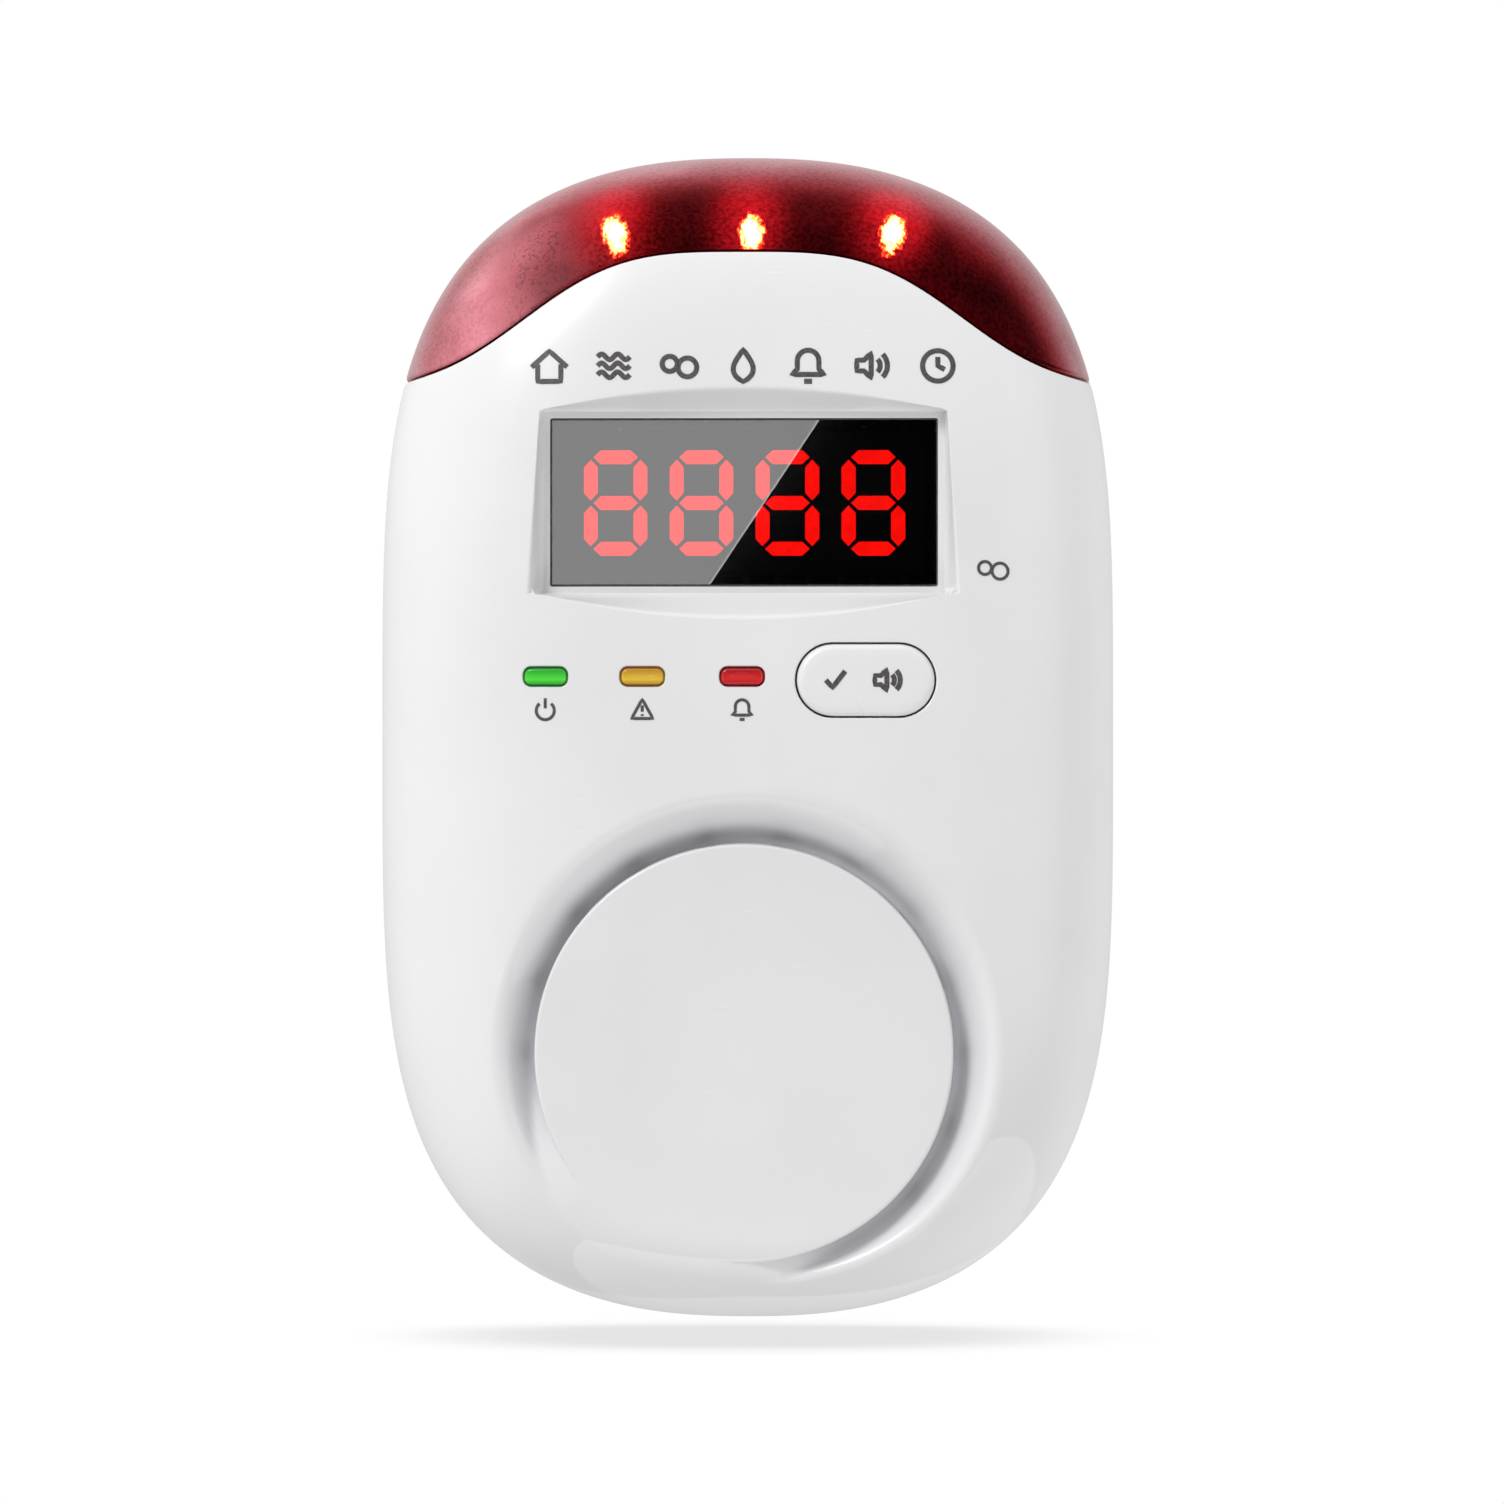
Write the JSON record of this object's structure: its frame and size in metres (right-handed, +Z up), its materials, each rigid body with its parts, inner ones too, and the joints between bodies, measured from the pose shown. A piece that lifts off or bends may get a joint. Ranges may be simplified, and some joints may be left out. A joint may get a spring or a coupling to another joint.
{
  "type": "carbon monoxide detector",
  "caption": "Plug-in carbon monoxide alarm with a red strobe lens, digital gas display, indicator lights, self-test button and sounder disc.",
  "frame": {"origin": "centre of the flat rear face, which rests against the wall outlet", "axes": "+Z up, +X to the user's right when facing the alarm, the front faces -Y and the plug blades point along +Y"},
  "size_m": [0.0726, 0.0598, 0.115],
  "materials": {
    "white_plastic": "glossy white ABS",
    "red_lens": "translucent red polycarbonate",
    "smoked_window": "smoked clear acrylic",
    "button_plastic": "white ABS",
    "black_plastic": "black moulded plastic",
    "red_bars": "red diffusing resin",
    "circuit_board": "green solder mask on glass epoxy",
    "zinc_steel": "zinc-plated steel",
    "brass": "nickel-free brass",
    "ceramic": "silvered ceramic",
    "grey_ribbon": "grey insulation",
    "green_pipe": "green clear plastic",
    "amber_pipe": "amber clear plastic",
    "red_pipe": "red clear plastic",
    "green_lamp": "green epoxy",
    "amber_lamp": "amber epoxy",
    "red_lamp": "red epoxy",
    "clear_lamp": "clear epoxy",
    "ferrite": "dark grey core",
    "yellow_tape": "yellow winding tape",
    "capacitor_can": "aluminium can in a dark blue sleeve",
    "fuse_glass": "clear glass",
    "blue_resin": "blue coating",
    "red_insulation": "red wire insulation",
    "black_insulation": "black wire insulation"
  },
  "bodies": {
    "alarm": {"alarm_lamp": "red_lamp", "alarm_light_pipe": "red_pipe", "blade_holder": "white_plastic", "case_screw_1": "zinc_steel", "case_screw_2": "zinc_steel", "case_screw_3": "zinc_steel", "case_screw_4": "zinc_steel", "display_board": "circuit_board", "display_board_screw_left": "zinc_steel", "display_board_screw_right": "zinc_steel", "display_driver": "black_plastic", "display_light_guide": "red_bars", "display_shell": "black_plastic", "display_window": "smoked_window", "fault_lamp": "amber_lamp", "fault_light_pipe": "amber_pipe", "filter_capacitor": "capacitor_can", "front_cover": "white_plastic", "fuse": "fuse_glass", "gas_sensor_base": "black_plastic", "gas_sensor_cap": "zinc_steel", "live_blade": "brass", "live_wire": "black_insulation", "microcontroller": "black_plastic", "neutral_blade": "brass", "neutral_wire": "red_insulation", "piezo_ceramic": "ceramic", "piezo_plate": "brass", "power_board": "circuit_board", "power_board_screw_left": "zinc_steel", "power_board_screw_right": "zinc_steel", "power_lamp": "green_lamp", "power_light_pipe": "green_pipe", "rear_cover": "white_plastic", "ribbon_cable": "grey_ribbon", "sounder_housing": "black_plastic", "sounder_lead_black": "black_insulation", "sounder_lead_red": "red_insulation", "sounder_lid": "black_plastic", "strobe_board": "circuit_board", "strobe_bracket": "black_plastic", "strobe_lamp_centre": "clear_lamp", "strobe_lamp_left": "clear_lamp", "strobe_lamp_right": "clear_lamp", "strobe_lead_black": "black_insulation", "strobe_lead_red": "red_insulation", "strobe_lens": "red_lens", "tact_switch_body": "black_plastic", "transformer_coil": "yellow_tape", "transformer_core": "ferrite", "varistor": "blue_resin"},
    "button": {"self_test_button": "button_plastic"},
    "switch_plunger": {"tact_switch_plunger": "button_plastic"}
  },
  "joints": [
    {"name": "button_press", "type": "slide", "parent": "alarm", "child": "button", "axis": [0, 1, 0], "range_m": [0, 0.0008]},
    {"name": "plunger_press", "type": "slide", "parent": "alarm", "child": "switch_plunger", "axis": [0, 1, 0], "range_m": [0, 0.0008]}
  ],
  "couplings": [
    {"joint": "plunger_press", "follows": "button_press", "ratio": 1}
  ]
}
